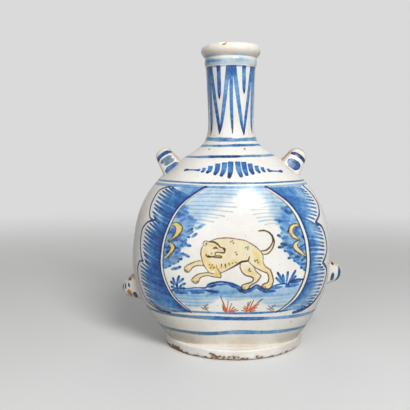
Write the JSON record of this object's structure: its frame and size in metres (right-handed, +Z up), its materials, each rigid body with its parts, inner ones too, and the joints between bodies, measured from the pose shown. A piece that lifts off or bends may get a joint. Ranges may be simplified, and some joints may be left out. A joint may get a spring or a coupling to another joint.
{
  "type": "faience bottle",
  "caption": "Flattened faience bottle with a tall round neck, rolled lip, round foot and cord loops, tin-glazed white and painted in blue with a beast in a landscape.",
  "frame": {"origin": "centre of the round foot, on the surface that the bottle stands on", "axes": "+Z up along the neck, -Y towards the painted front, +X to the right as seen from the front"},
  "size_m": [0.221, 0.135, 0.29],
  "materials": {
    "painted_glaze": "glossy white tin glaze painted in cobalt blue",
    "lip_glaze": "glossy cream tin glaze, stained",
    "foot_glaze": "glossy white tin glaze, chipped to brown clay at the edge",
    "loop_glaze": "glossy white tin glaze with blue strokes"
  },
  "bodies": {
    "root": {"front_bowl": "painted_glaze", "back_bowl": "painted_glaze", "neck_tube": "painted_glaze", "lip_roll": "lip_glaze", "foot_ring": "foot_glaze", "shoulder_loop_left": "loop_glaze", "shoulder_loop_right": "loop_glaze", "hip_loop_left": "loop_glaze", "hip_loop_right": "loop_glaze"}
  },
  "joints": []
}
